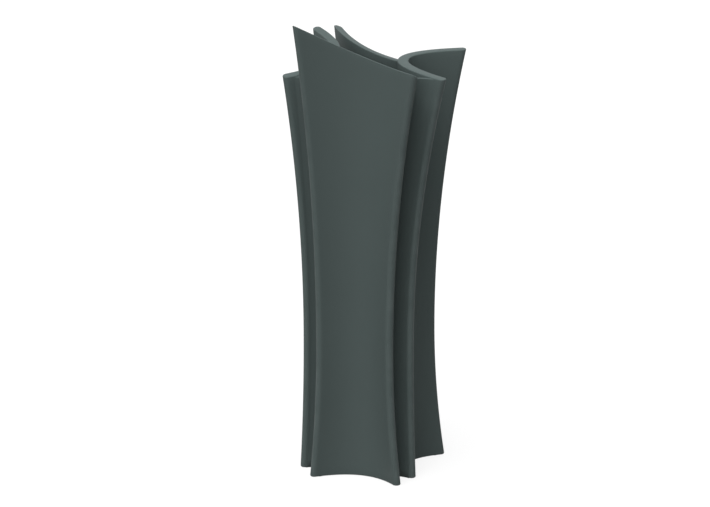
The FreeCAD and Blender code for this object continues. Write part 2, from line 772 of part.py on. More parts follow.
def make_drain_grid():
    sides = liner_sides(LINER_WALL + GRID_CLEARANCE, GRID_BOTTOM)
    plate = prism(pocket_loop(sides, GRID_BOTTOM), GRID_THICKNESS)
    tube = tube_place(GRID_BOTTOM)
    legs = [corner_place(sides, n, GRID_LEG_INSET, LINER_FLOOR_TOP) for n in range(4) if n != TUBE_CORNER]
    land = liner_sides(LINER_WALL + GRID_CLEARANCE + GRID_EDGE + GRID_HOLE_RADIUS, GRID_BOTTOM)
    inside = Part.Face(pocket_loop(land, GRID_BOTTOM))
    centre = centre_of(sides, GRID_BOTTOM)
    keep_out = [(leg, GRID_LEG_RADIUS) for leg in legs] + [(tube, TUBE_COLLAR_RADIUS)]
    box = inside.BoundBox
    columns = int(box.XLength / GRID_HOLE_PITCH) + 1
    rows = int(box.YLength / GRID_HOLE_PITCH) + 1
    holes = []
    for column in range(-columns, columns + 1):
        for row in range(-rows, rows + 1):
            place = centre + Vector(column * GRID_HOLE_PITCH, row * GRID_HOLE_PITCH, 0)
            if not inside.isInside(place, ON_FACE, True):
                continue
            clear = [math.hypot(place.x - spot.x, place.y - spot.y) > radius + 2 * GRID_HOLE_RADIUS
                     for spot, radius in keep_out]
            if all(clear):
                holes.append(cylinder(GRID_HOLE_RADIUS, GRID_THICKNESS, place))
    holes.append(cylinder(TUBE_RADIUS + TUBE_PLAY, GRID_THICKNESS, tube))
    posts = [cylinder(GRID_LEG_RADIUS, RESERVOIR_DEPTH + GRID_THICKNESS / 2, leg) for leg in legs]
    return single(plate.multiFuse(posts).cut(Part.makeCompound(holes)))


TUBE_BOTTOM = LINER_FLOOR_TOP + TUBE_FOOT_GAP
TUBE_TOP = LINER_TOP_HEIGHT + TUBE_ABOVE_LINER
FLOAT_BOTTOM = TUBE_BOTTOM + TUBE_LEDGE


def make_gauge_tube():
    outside = cylinder(TUBE_RADIUS, TUBE_TOP - TUBE_BOTTOM, tube_place(TUBE_BOTTOM))
    collar = cylinder(TUBE_COLLAR_RADIUS, TUBE_COLLAR_HEIGHT, tube_place(GRID_TOP))
    inside = cylinder(TUBE_RADIUS - TUBE_WALL, TUBE_TOP - FLOAT_BOTTOM, tube_place(FLOAT_BOTTOM))
    inlet = cylinder(TUBE_LEDGE_BORE, TUBE_LEDGE, tube_place(TUBE_BOTTOM))
    return single(outside.fuse(collar).cut(inside).cut(inlet))


def make_gauge_float():
    flag_bottom = TUBE_TOP - FLOAT_TRAVEL - FLAG_LENGTH
    body = cylinder(TUBE_RADIUS - TUBE_WALL - FLOAT_PLAY, FLOAT_LENGTH, tube_place(FLOAT_BOTTOM))
    stem = cylinder(STEM_RADIUS, flag_bottom - FLOAT_BOTTOM, tube_place(FLOAT_BOTTOM))
    flag = cylinder(FLAG_RADIUS, FLAG_LENGTH, tube_place(flag_bottom))
    return single(body.multiFuse([stem, flag]))


def make_gauge_cap():
    bore = TUBE_RADIUS + TUBE_PLAY
    outside = cylinder(bore + CAP_WALL, CAP_SKIRT + CAP_WALL, tube_place(TUBE_TOP - CAP_SKIRT))
    top = [edge for edge in outside.Edges if on_plane(edge, UP * (TUBE_TOP + CAP_WALL), UP)]
    outside = outside.makeFillet(CAP_ROUND, top)
    return single(outside.cut(cylinder(bore, CAP_SKIRT, tube_place(TUBE_TOP - CAP_SKIRT))))


def plug_place(z):
    return centre_of(liner_sides(0, LINER_BOTTOM), z)


def make_drain_plug():
    head_bottom = LINER_FLOOR_TOP + SEAL_THICKNESS
    stem_bottom = LINER_BOTTOM - PLUG_BELOW_FLOOR
    stem = cylinder(PLUG_RADIUS, head_bottom - stem_bottom, plug_place(stem_bottom))
    head = cylinder(PLUG_HEAD_RADIUS, PLUG_HEAD_HEIGHT, plug_place(head_bottom))
    tab_corner = plug_place(head_bottom) - Vector(PLUG_TAB_WIDTH / 2, PLUG_TAB_THICKNESS / 2, 0)
    tab = Part.makeBox(PLUG_TAB_WIDTH, PLUG_TAB_THICKNESS, PLUG_HEAD_HEIGHT + PLUG_TAB_HEIGHT, tab_corner)
    return single(stem.multiFuse([head, tab]))


def make_drain_plug_seal():
    ring = cylinder(PLUG_HEAD_RADIUS - SEAL_SETBACK, SEAL_THICKNESS, plug_place(LINER_FLOOR_TOP))
    return ring.cut(cylinder(PLUG_RADIUS + PLUG_PLAY, SEAL_THICKNESS, plug_place(LINER_FLOOR_TOP)))


PIECES = {
    "front_sheet": make_sheet(front_sheet),
    "right_sheet": make_sheet(right_sheet),
    "back_sheet": make_sheet(back_sheet),
    "left_sheet": make_sheet(left_sheet),
    "post_front_right": make_post(CORNERS[0], FRONT_RIGHT_POST_TOP),
    "post_back_right": make_post(CORNERS[1], BACK_RIGHT_POST_TOP),
    "post_back_left": make_post(CORNERS[2], BACK_LEFT_POST_TOP),
    "post_front_left": make_post(CORNERS[3], FRONT_LEFT_POST_TOP),
    "sheet_bolts": make_sheet_bolts(),
    "foot_pads": make_foot_pads(),
    "base_plate": make_plate(BASE_PLATE_HEIGHT, BASE_PLATE_THICKNESS, foot_bosses),
    "base_inserts": make_inserts(foot_bosses),
    "base_screws": make_screws(foot_bosses, BASE_PLATE_THICKNESS),
    "ballast_block": make_ballast(),
    "shelf": make_plate(SHELF_HEIGHT - SHELF_THICKNESS, SHELF_THICKNESS, shelf_bosses),
    "shelf_inserts": make_inserts(shelf_bosses),
    "shelf_screws": make_screws(shelf_bosses, SHELF_THICKNESS),
    "liner": make_liner(),
    "handle_front": make_handle(front_handle),
    "handle_back": make_handle(back_handle),
    "drain_grid": make_drain_grid(),
    "gauge_tube": make_gauge_tube(),
    "gauge_float": make_gauge_float(),
    "gauge_cap": make_gauge_cap(),
    "drain_plug": make_drain_plug(),
    "drain_plug_seal": make_drain_plug_seal(),
}

for name, shape in PIECES.items():
    shape.exportStep("parts/%s.step" % name)
    print(name, len(shape.Solids), "solids", round(shape.Volume / 1000, 2), "cm3", shape.isValid())
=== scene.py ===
"""Looks of the tall planter: four flared moulded sheets around a lift-out watering liner."""

import math

import bmesh
import bpy
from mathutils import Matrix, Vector


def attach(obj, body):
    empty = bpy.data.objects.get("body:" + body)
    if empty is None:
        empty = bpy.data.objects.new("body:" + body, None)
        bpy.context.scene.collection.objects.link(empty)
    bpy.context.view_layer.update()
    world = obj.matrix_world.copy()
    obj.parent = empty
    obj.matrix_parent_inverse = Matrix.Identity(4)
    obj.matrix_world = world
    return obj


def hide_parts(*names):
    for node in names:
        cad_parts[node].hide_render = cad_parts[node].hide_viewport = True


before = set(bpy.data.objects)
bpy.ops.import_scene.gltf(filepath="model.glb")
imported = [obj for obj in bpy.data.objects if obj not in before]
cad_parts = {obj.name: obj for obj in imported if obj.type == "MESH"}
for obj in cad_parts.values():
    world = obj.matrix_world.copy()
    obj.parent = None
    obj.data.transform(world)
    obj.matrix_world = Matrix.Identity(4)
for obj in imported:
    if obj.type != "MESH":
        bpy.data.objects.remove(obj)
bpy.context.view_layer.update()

# Heights of the planter, metres from the floor
FLARE_HEIGHT = 1.400        # where the top flare of every long edge is given
WAIST_HEIGHT = 0.430        # where the sheets stand closest together
FOOT_HEIGHT = 0.001

# Walls
SHEET_THICKNESS = 0.026
RIM_ROUND = 0.003
FOOT_ROUND = 0.004
POST_THICKNESS = 0.008
POST_ARCH = 0.032           # how far a post bows inwards
POST_ROUND = 0.003
GROOVE_BURIED = 0.0003      # how deep the ends of a groove's face lie inside the sheets
MIDDLE_POLE_SHARE = 3 / 8   # weight of each inner pole in the middle of a cubic

# Mesh density of the walls
SIDE_COLUMNS = 44
CAP_COLUMNS = 13
CAP_SHARE = CAP_COLUMNS / SIDE_COLUMNS
ROUND_ROWS = 6
WALL_ROWS = 64
POST_COLUMNS = 32
POST_ROWS = 56
RIM_TRIES = 3               # how often the height of the sloping rim is worked out again
WELD_DISTANCE = 0.00002

# Attribute that marks the rims, feet and long edges of the sheets, where a painted edge highlight and
# wear go
EDGE_MARK = "edge"

# Photograph's view
VIEW_AZIMUTH = 22.0
VIEW_ELEVATION = 17.0
VIEW_DISTANCE = 10.1
VIEW_TARGET = Vector((-0.037, 0.015, 0.657))
IMAGE_WIDTH = 710
IMAGE_HEIGHT = 507
TARGET_PIXEL = (366.4, 252.0)
FOCAL_PIXELS = 3339.0
SENSOR_WIDTH = 36.0
CAMERA_REACH = 100.0

# Shell, linear colours
SHELL_COLOUR = (0.0595, 0.0765, 0.0745)
# paler colour painted on the rims, feet and long edges: a painted edge highlight, and wear
SHELL_HIGHLIGHT_AND_WEAR = (0.088, 0.108, 0.105)

# Surface effects
GLOSS_PATCH_GRAINS = 40.0   # gloss patches, in grains across
SPECK_GRAINS = 2.5          # colour specks, in grains across
HIGHLIGHT_AND_WEAR_START = 0.35            # cloud value from which an edge is painted paler: painted highlight and wear
HIGHLIGHT_AND_WEAR_STEEPNESS = 3.0

# Studio
WHITE = (1.0, 1.0, 1.0, 1.0)
FLOOR_COLOUR = (0.8, 0.8, 0.8, 1.0)
FLOOR_BOUNCE = (0.15, 0.15, 0.15, 1.0)
FLOOR_GLOW = 0.84
FLOOR_HALF = 30.0
AMBIENT = 0.165

UP = Vector((0, 0, 1))


# The planter's outline: long edges of the sheets and the spines between them

class LongEdge:
    """Free edge of a sheet: its place at the waist, its flares, and the height of its crown."""

    def __init__(self, waist, top_flare, foot_flare, crown):
        self.waist = Vector((*waist, 0))
        self.top_flare = Vector((*top_flare, 0))
        self.foot_flare = Vector((*foot_flare, 0))
        self.crown = crown

    def at(self, z):
        above = max(z - WAIST_HEIGHT, 0) / (FLARE_HEIGHT - WAIST_HEIGHT)
        below = max(WAIST_HEIGHT - z, 0) / WAIST_HEIGHT
        return self.waist + self.top_flare * above ** 2 + self.foot_flare * below ** 2


class Sheet:
    """One curved sheet, hollow towards the outside, between two long edges."""

    def __init__(self, node, start, end, outward, spine_foot, spine_top, rim_tilt, swell,
                 post_setback, wraps):
        self.node = node
        self.start = start
        self.end = end
        self.outward = Vector((*outward, 0))
        self.spine_foot = spine_foot
        self.spine_top = spine_top
        self.rim_tilt = rim_tilt
        self.swell = swell
        self.post_setback = post_setback
        self.wraps = wraps

    def post_line(self, z, from_end):
        """Where a corner post meets the sheet's middle line, and the way from the long edge."""
        a = self.start.at(z)
        b = self.end.at(z)
        middle = (a + b) / 2
        spine = self.spine_foot + (self.spine_top - self.spine_foot) * z / FLARE_HEIGHT
        depth = middle.dot(self.outward) - (spine - SHEET_THICKNESS / 2)
        control = middle - self.outward * (2 * depth)
        share = self.post_setback / (b - a).length
        if from_end:
            share = 1 - share
        point = a * (1 - share) ** 2 + control * (2 * share * (1 - share)) + b * share ** 2
        along = ((control - a) * (1 - share) + (b - control) * share).normalized()
        return point, -along if from_end else along


FRONT = Sheet(
    "front_sheet",
    start=LongEdge(
        waist=(-0.098, -0.200), top_flare=(-0.059, -0.028), foot_flare=(-0.020, -0.006), crown=1.395),
    end=LongEdge(
        waist=(0.118, -0.190), top_flare=(0.108, -0.028), foot_flare=(0.022, 0.008), crown=1.280),
    outward=(0, -1), spine_foot=0.153, spine_top=0.161, rim_tilt=0.45, swell=0.0,
    post_setback=0.036, wraps=False)
RIGHT = Sheet(
    "right_sheet",
    start=LongEdge(
        waist=(0.152, -0.110), top_flare=(0.141, -0.012), foot_flare=(0.007, 0.004), crown=1.255),
    end=LongEdge(
        waist=(0.135, 0.110), top_flare=(0.094, 0.086), foot_flare=(0.032, 0.008), crown=1.275),
    outward=(1, 0), spine_foot=0.109, spine_top=0.091, rim_tilt=0.0, swell=0.009,
    post_setback=0.008, wraps=True)
BACK = Sheet(
    "back_sheet",
    start=LongEdge(
        waist=(0.090, 0.178), top_flare=(0.074, 0.070), foot_flare=(0.020, 0.010), crown=1.195),
    end=LongEdge(
        waist=(-0.142, 0.180), top_flare=(-0.092, 0.0605), foot_flare=(-0.010, 0.010), crown=1.294),
    outward=(0, 1), spine_foot=0.113, spine_top=0.125, rim_tilt=-0.08, swell=0.0,
    post_setback=0.036, wraps=False)
LEFT = Sheet(
    "left_sheet",
    start=LongEdge(
        waist=(-0.187, 0.120), top_flare=(-0.082, 0.040), foot_flare=(-0.008, 0.008), crown=1.302),
    end=LongEdge(
        waist=(-0.167, -0.135), top_flare=(-0.084, -0.022), foot_flare=(-0.010, -0.006), crown=1.228),
    outward=(-1, 0), spine_foot=0.115, spine_top=0.150, rim_tilt=0.0, swell=0.0,
    post_setback=0.008, wraps=True)
SHEETS = [FRONT, RIGHT, BACK, LEFT]


class Post:
    """Corner post in the groove between two sheets, running on smoothly from the side sheet's edge."""

    def __init__(self, node, before, after, top):
        self.node = node
        self.before = before
        self.after = after
        self.top = top

    def leaving(self, sheet, z, from_end, across, inward):
        """Where the groove's face leaves a sheet, and the way it goes from there."""
        buried = SHEET_THICKNESS / 2 - GROOVE_BURIED
        if sheet.wraps:
            edge = sheet.end if from_end else sheet.start
            return edge.at(z) + across * buried, inward
        point, way = sheet.post_line(z, from_end)
        face = way.cross(UP) if from_end else -way.cross(UP)
        return point + face * buried, way

    def deepest(self, z):
        """Deepest point of the groove's face at a height, and the way into the corner."""
        start, _ = self.before.post_line(z, True)
        end, _ = self.after.post_line(z, False)
        inward = -(end - start).normalized().cross(UP)
        return (start + end) / 2 + inward * (POST_ARCH - POST_THICKNESS / 2), inward

    def poles(self, z):
        """Poles of the cubic that the groove's face follows from one sheet to the next."""
        across = (self.after.start.at(z) - self.before.end.at(z)).normalized()
        start, start_way = self.leaving(self.before, z, True, across, -across.cross(UP))
        end, end_way = self.leaving(self.after, z, False, -across, -across.cross(UP))
        deepest, inward = self.deepest(z)
        depth = (deepest - (start + end) / 2).dot(inward)
        reach = depth / (MIDDLE_POLE_SHARE * (start_way + end_way).dot(inward))
        return start, start + start_way * reach, end + end_way * reach, end

    def loop(self, z, inset):
        """Closed section at a height: the groove's face, then the post's inner face back."""
        first, second, third, last = self.poles(z)
        outer_line = []
        inner_line = []
        for n in range(POST_COLUMNS + 1):
            t = n / POST_COLUMNS
            u = 1 - t
            point = first * u ** 3 + second * (3 * u * u * t) + third * (3 * u * t * t) + last * t ** 3
            way = (second - first) * (u * u) + (third - second) * (2 * u * t) + (last - third) * (t * t)
            deeper = -way.normalized().cross(UP)
            outer_line.append(point + deeper * inset + UP * z)
            inner_line.append(point + deeper * (POST_THICKNESS - inset) + UP * z)
        return outer_line + inner_line[::-1]


POSTS = [
    Post("post_front_right", before=FRONT, after=RIGHT, top=1.252),
    Post("post_back_right", before=RIGHT, after=BACK, top=1.150),
    Post("post_back_left", before=BACK, after=LEFT, top=1.225),
    Post("post_front_left", before=LEFT, after=FRONT, top=1.225),
]


# Formulas written as nodes

class Field:
    """A number or vector in a node tree, with arithmetic that adds nodes."""

    def __init__(self, tree, socket, vector=False):
        self.tree = tree
        self.socket = socket
        self.vector = vector

    def feed(self, slot):
        self.tree.links.new(self.socket, slot)

    def combine(self, operation, other=None):
        vector = self.vector or isinstance(other, Field) and other.vector
        kind = "ShaderNodeVectorMath" if vector else "ShaderNodeMath"
        node = self.tree.nodes.new(kind)
        node.operation = operation
        for slot, value in zip(node.inputs, (self, other)):
            if isinstance(value, Field):
                value.feed(slot)
            elif value is not None:
                slot.default_value = value
        if operation == "DOT_PRODUCT":
            return Field(self.tree, node.outputs["Value"])
        return Field(self.tree, node.outputs[0], vector)

    def __add__(self, other):
        return self.combine("ADD", other)

    def __sub__(self, other):
        return self.combine("SUBTRACT", other)

    def __mul__(self, other):
        if not self.vector:
            return self.combine("MULTIPLY", other)
        node = self.tree.nodes.new("ShaderNodeVectorMath")
        node.operation = "SCALE"
        self.feed(node.inputs[0])
        if isinstance(other, Field):
            other.feed(node.inputs["Scale"])
        else:
            node.inputs["Scale"].default_value = other
        return Field(self.tree, node.outputs[0], True)

    def __truediv__(self, other):
        return self.combine("DIVIDE", other)

    def at_least(self, low):
        return self.combine("MAXIMUM", low)

    def at_most(self, high):
        return self.combine("MINIMUM", high)

    def squared(self):
        return self.combine("MULTIPLY", self)

    def less_from(self, whole):
        return (self * -1.0) + whole

    def clamped(self):
        return self.at_least(0.0).at_most(1.0)

    def sine(self):
        return self.combine("SINE")

    def cosine(self):
        return self.combine("COSINE")

    def size(self):
        return self.combine("ABSOLUTE")

    def dot(self, other):
        return self.combine("DOT_PRODUCT", other)

    def cross(self, other):
        return self.combine("CROSS_PRODUCT", other)

    def normalized(self):
        return self.combine("NORMALIZE")


def new_tree(name, inputs, output, output_kind):
    """A node tree with named inputs, the fields they give, and the output's node."""
    tree = bpy.data.node_groups.new(name, "GeometryNodeTree")
    for title, kind in inputs:
        tree.interface.new_socket(title, in_out="INPUT", socket_type=kind)
    tree.interface.new_socket(output, in_out="OUTPUT", socket_type=output_kind)
    source = tree.nodes.new("NodeGroupInput")
    sink = tree.nodes.new("NodeGroupOutput")
    fields = {}
    for title, kind in inputs:
        fields[title] = Field(tree, source.outputs[title], kind == "NodeSocketVector")
    return tree, fields, sink


NUMBER = "NodeSocketFloat"
PLACE = "NodeSocketVector"
OUTLINE_INPUTS = [
    ("Start Waist", PLACE), ("Start Top Flare", PLACE), ("Start Foot Flare", PLACE),
    ("End Waist", PLACE), ("End Top Flare", PLACE), ("End Foot Flare", PLACE),
    ("Outward", PLACE), ("Spine Foot", NUMBER), ("Spine Top", NUMBER),
    ("Waist Height", NUMBER), ("Flare Height", NUMBER), ("Thickness", NUMBER), ("Inner Swell", NUMBER),
]


def wall_point_tree():
    """Point of a flared wall at a height, a share of its middle line and a turn round its section."""
    inputs = OUTLINE_INPUTS + [("Height", NUMBER), ("Share", NUMBER), ("Turn", NUMBER), ("Half", NUMBER)]
    tree, at, sink = new_tree("wall_point", inputs, "Position", PLACE)
    height = at["Height"]
    above = (height - at["Waist Height"]).at_least(0.0) / (at["Flare Height"] - at["Waist Height"])
    below = height.less_from(at["Waist Height"]).at_least(0.0) / at["Waist Height"]
    ends = []
    for side in ("Start", "End"):
        lean = at[side + " Top Flare"] * above.squared() + at[side + " Foot Flare"] * below.squared()
        ends.append(at[side + " Waist"] + lean)
    start, end = ends
    middle = (start + end) * 0.5
    spine = at["Spine Foot"] + (at["Spine Top"] - at["Spine Foot"]) * height / at["Flare Height"]
    depth = middle.dot(at["Outward"]) - (spine - at["Thickness"] * 0.5)
    control = middle - at["Outward"] * (depth * 2.0)
    share = at["Share"]
    rest = share.less_from(1.0)
    point = start * rest.squared() + control * (share * rest * 2.0) + end * share.squared()
    along = ((control - start) * rest + (end - control) * share).normalized()
    outer = along.cross(tuple(UP))
    skin = outer * (at["Half"] * at["Turn"].cosine()) + along * (at["Half"] * at["Turn"].sine())
    inner_side = at["Turn"].cosine().less_from(0.0).at_least(0.0)
    fullness = at["Half"] / (at["Thickness"] * 0.5)
    swell = at["Inner Swell"] * above.squared() * (share * rest * 4.0) * inner_side * fullness
    skin = skin - at["Outward"] * swell
    raised = tree.nodes.new("ShaderNodeCombineXYZ")
    height.feed(raised.inputs["Z"])
    (point + skin + Field(tree, raised.outputs[0], True)).feed(sink.inputs["Position"])
    return tree


def upright_sheet_tree(wall_point):
    """A closed wall of rounded section, with a sloping rounded rim and a rounded foot."""
    inputs = OUTLINE_INPUTS + [
        ("Start Crown Place", PLACE), ("Rim Along", PLACE), ("Rim Inward", PLACE),
        ("Start Crown", NUMBER), ("End Crown", NUMBER), ("Rim Tilt", NUMBER),
        ("Foot Height", NUMBER), ("Rim Round", NUMBER), ("Foot Round", NUMBER),
        ("Finish", "NodeSocketMaterial")]
    tree, at, sink = new_tree("upright_sheet", inputs, "Geometry", "NodeSocketGeometry")
    loop_length = 2 + 2 * CAP_SHARE
    columns = 2 * (SIDE_COLUMNS + CAP_COLUMNS) + 1
    rows = 2 + 2 * ROUND_ROWS + WALL_ROWS + 1
    grid = tree.nodes.new("GeometryNodeMeshGrid")
    grid.inputs["Size X"].default_value = loop_length
    grid.inputs["Size Y"].default_value = rows - 1
    grid.inputs["Vertices X"].default_value = columns
    grid.inputs["Vertices Y"].default_value = rows
    place = tree.nodes.new("GeometryNodeInputPosition")
    parts = tree.nodes.new("ShaderNodeSeparateXYZ")
    tree.links.new(place.outputs[0], parts.inputs[0])
    around = Field(tree, parts.outputs["X"]) + loop_length / 2
    row = Field(tree, parts.outputs["Y"]) + (rows - 1) / 2

    end_cap = ((around - 1.0) / CAP_SHARE).clamped()
    start_cap = ((around - (2 + CAP_SHARE)) / CAP_SHARE).clamped()
    share = around.clamped() - (around - (1 + CAP_SHARE)).clamped()
    turn = (end_cap + start_cap) * math.pi

    opened = row.clamped()
    foot_turn = ((row - 1.0) / ROUND_ROWS).clamped() * (math.pi / 2)
    rise = ((row - (1.0 + ROUND_ROWS)) / WALL_ROWS).clamped()
    rim_turn = ((row - (1.0 + ROUND_ROWS + WALL_ROWS)) / ROUND_ROWS).clamped() * (math.pi / 2)
    closed = (row - (1.0 + 2 * ROUND_ROWS + WALL_ROWS)).clamped()
    foot_inset = at["Foot Round"] * foot_turn.sine().less_from(1.0)
    rim_inset = at["Rim Round"] * rim_turn.cosine().less_from(1.0)
    half = (at["Thickness"] * 0.5 - (foot_inset + rim_inset)) * opened * closed.less_from(1.0)

    def point_at(height):
        node = tree.nodes.new("GeometryNodeGroup")
        node.node_tree = wall_point
        for title, _ in OUTLINE_INPUTS:
            at[title].feed(node.inputs[title])
        height.feed(node.inputs["Height"])
        share.feed(node.inputs["Share"])
        turn.feed(node.inputs["Turn"])
        half.feed(node.inputs["Half"])
        return Field(tree, node.outputs["Position"], True)

    slope = at["End Crown"] - at["Start Crown"]
    rim = at["Start Crown"] + slope * share
    for _ in range(RIM_TRIES):
        offset = point_at(rim) - at["Start Crown Place"]
        sunk = at["Rim Tilt"] * offset.dot(at["Rim Inward"])
        rim = at["Start Crown"] + slope * offset.dot(at["Rim Along"]) - sunk
    low = at["Foot Height"] + at["Foot Round"] * foot_turn.cosine().less_from(1.0)
    span = rim - at["Rim Round"] - at["Foot Height"] - at["Foot Round"]
    height = low + span * rise + at["Rim Round"] * rim_turn.sine()

    # rounded rims, feet and long edges, marked for the painted edge highlight and wear
    rounding = (foot_turn * 2.0).sine() + (rim_turn * 2.0).sine()
    marked = tree.nodes.new("GeometryNodeStoreNamedAttribute")
    marked.data_type = "FLOAT"
    marked.domain = "POINT"
    marked.inputs["Name"].default_value = EDGE_MARK
    turn.sine().size().at_least(rounding).clamped().feed(marked.inputs["Value"])
    tree.links.new(grid.outputs["Mesh"], marked.inputs["Geometry"])
    moved = tree.nodes.new("GeometryNodeSetPosition")
    tree.links.new(marked.outputs["Geometry"], moved.inputs["Geometry"])
    point_at(height).feed(moved.inputs["Position"])
    welded = tree.nodes.new("GeometryNodeMergeByDistance")
    welded.inputs["Distance"].default_value = WELD_DISTANCE
    tree.links.new(moved.outputs["Geometry"], welded.inputs["Geometry"])
    smooth = tree.nodes.new("GeometryNodeSetShadeSmooth")
    tree.links.new(welded.outputs["Geometry"], smooth.inputs["Geometry"])
    coated = tree.nodes.new("GeometryNodeSetMaterial")
    tree.links.new(smooth.outputs["Geometry"], coated.inputs["Geometry"])
    tree.links.new(tree.nodes["Group Input"].outputs["Finish"], coated.inputs["Material"])
    tree.links.new(coated.outputs["Geometry"], sink.inputs["Geometry"])
    return tree


def link(piece):
    """Put an object into the scene."""
    bpy.context.scene.collection.objects.link(piece)
    return piece


def outward_faces(mesh):
    """Turn every face of a closed mesh outwards."""
    work = bmesh.new()
    work.from_mesh(mesh)
    bmesh.ops.recalc_face_normals(work, faces=work.faces)
    work.to_mesh(mesh)
    work.free()


def grow(name, tree, values):
    """A plain mesh object from a node tree and the values of its inputs."""
    maker = link(bpy.data.objects.new(name + "_maker", bpy.data.meshes.new(name + "_maker")))
    modifier = maker.modifiers.new("shape", "NODES")
    modifier.node_group = tree
    for item in tree.interface.items_tree:
        if item.in_out == "INPUT" and item.name in values:
            modifier[item.identifier] = values[item.name]
    bpy.context.view_layer.update()
    depsgraph = bpy.context.evaluated_depsgraph_get()
    mesh = bpy.data.meshes.new_from_object(maker.evaluated_get(depsgraph), depsgraph=depsgraph)
    mesh.name = name
    bpy.data.objects.remove(maker)
    outward_faces(mesh)
    return link(bpy.data.objects.new(name, mesh))


def make_sheet(sheet, tree, material):
    """One sheet of the shell, grown from its outline."""
    start_crown = sheet.start.at(sheet.start.crown)
    rim = sheet.end.at(sheet.end.crown) - start_crown
    values = {
        "Start Waist": sheet.start.waist, "Start Top Flare": sheet.start.top_flare,
        "Start Foot Flare": sheet.start.foot_flare, "End Waist": sheet.end.waist,
        "End Top Flare": sheet.end.top_flare, "End Foot Flare": sheet.end.foot_flare,
        "Outward": sheet.outward, "Spine Foot": sheet.spine_foot, "Spine Top": sheet.spine_top,
        "Waist Height": WAIST_HEIGHT, "Flare Height": FLARE_HEIGHT, "Thickness": SHEET_THICKNESS,
        "Inner Swell": sheet.swell, "Start Crown Place": start_crown,
        "Rim Along": rim / rim.length_squared, "Rim Inward": -rim.normalized().cross(UP),
        "Start Crown": sheet.start.crown, "End Crown": sheet.end.crown, "Rim Tilt": sheet.rim_tilt,
        "Foot Height": FOOT_HEIGHT, "Rim Round": RIM_ROUND, "Foot Round": FOOT_ROUND, "Finish": material}
    piece = grow(sheet.node + "_skin", tree, values)
    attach(piece, "planter")
    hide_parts(sheet.node)


def make_post(post, material):
    """One corner post: its sections from the foot to a rounded top, closed at both ends."""
    work = bmesh.new()
    rows = []
    for n in range(POST_ROWS + 1):
        rows.append((FOOT_HEIGHT + (post.top - POST_ROUND - FOOT_HEIGHT) * n / POST_ROWS, 0.0))
    for n in range(1, ROUND_ROWS + 1):
        turn = math.pi / 2 * n / ROUND_ROWS
        rows.append((post.top - POST_ROUND * (1 - math.sin(turn)), POST_ROUND * (1 - math.cos(turn))))
    rings = []
    for z, inset in rows:
        rings.append([work.verts.new(point) for point in post.loop(z, inset)])
    count = len(rings[0])
    for low, high in zip(rings, rings[1:]):
        for n in range(count):
            m = (n + 1) % count
            work.faces.new((low[n], low[m], high[m], high[n]))
    for ring in (rings[0], rings[-1]):
        for n in range(POST_COLUMNS):
            work.faces.new((ring[n], ring[n + 1], ring[count - 2 - n], ring[count - 1 - n]))
    bmesh.ops.recalc_face_normals(work, faces=work.faces)
    mesh = bpy.data.meshes.new(post.node + "_skin")
    work.to_mesh(mesh)
    work.free()
    mesh.shade_smooth()
    mesh.materials.append(material)
    piece = link(bpy.data.objects.new(post.node + "_skin", mesh))
    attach(piece, "planter")
    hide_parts(post.node)


# Effects that several finishes share

COLOUR = "NodeSocketColor"


class Effect:
    """A shader node group with named inputs and outputs, on the piece's own coordinates."""

    def __init__(self, name, inputs, outputs):
        self.tree = bpy.data.node_groups.new(name, "ShaderNodeTree")
        for title, kind in inputs:
            self.tree.interface.new_socket(title, in_out="INPUT", socket_type=kind)
        for title, kind in outputs:
            self.tree.interface.new_socket(title, in_out="OUTPUT", socket_type=kind)
        self.source = self.tree.nodes.new("NodeGroupInput")
        self.sink = self.tree.nodes.new("NodeGroupOutput")
        self.place = self.tree.nodes.new("ShaderNodeTexCoord").outputs["Object"]

    def value(self, title):
        return Field(self.tree, self.source.outputs[title])

    def give(self, title, field):
        field.feed(self.sink.inputs[title])

    def noise(self, size, detail, roughness):
        """Cloudy pattern between 0 and 1 with patches of about that size in metres."""
        node = self.tree.nodes.new("ShaderNodeTexNoise")
        node.inputs["Detail"].default_value = detail
        node.inputs["Roughness"].default_value = roughness
        self.tree.links.new(self.place, node.inputs["Vector"])
        size.combine("POWER", -1.0).feed(node.inputs["Scale"])
        return Field(self.tree, node.outputs["Fac"])

    def tinted(self, colour, factor):
        node = self.tree.nodes.new("ShaderNodeVectorMath")
        node.operation = "SCALE"
        self.tree.links.new(self.source.outputs[colour], node.inputs[0])
        factor.feed(node.inputs["Scale"])
        return Field(self.tree, node.outputs[0])

    def mixed(self, share, first, second):
        node = self.tree.nodes.new("ShaderNodeMix")
        node.data_type = "RGBA"
        share.feed(node.inputs["Factor"])
        self.tree.links.new(self.source.outputs[first], node.inputs["A"])
        self.tree.links.new(self.source.outputs[second], node.inputs["B"])
        return Field(self.tree, node.outputs["Result"])


def moulded_grain_effect():
    """Fine pebbled skin: a bumpy normal, and a roughness that goes with it."""
    inputs = [
        ("Grain Size", NUMBER), ("Grain Depth", NUMBER), ("Roughness", NUMBER), ("Gloss Spread", NUMBER)]
    effect = Effect("moulded_grain", inputs, [("Normal", PLACE), ("Roughness", NUMBER)])
    pebbles = effect.noise(effect.value("Grain Size"), detail=2.0, roughness=0.5)
    bump = effect.tree.nodes.new("ShaderNodeBump")
    effect.value("Grain Depth").feed(bump.inputs["Distance"])
    pebbles.feed(bump.inputs["Height"])
    effect.give("Normal", Field(effect.tree, bump.outputs["Normal"], True))
    patches = effect.noise(effect.value("Grain Size") * GLOSS_PATCH_GRAINS, detail=3.0, roughness=0.55)
    gloss = effect.value("Roughness") + effect.value("Gloss Spread") * (patches - 0.5)
    effect.give("Roughness", gloss)
    return effect


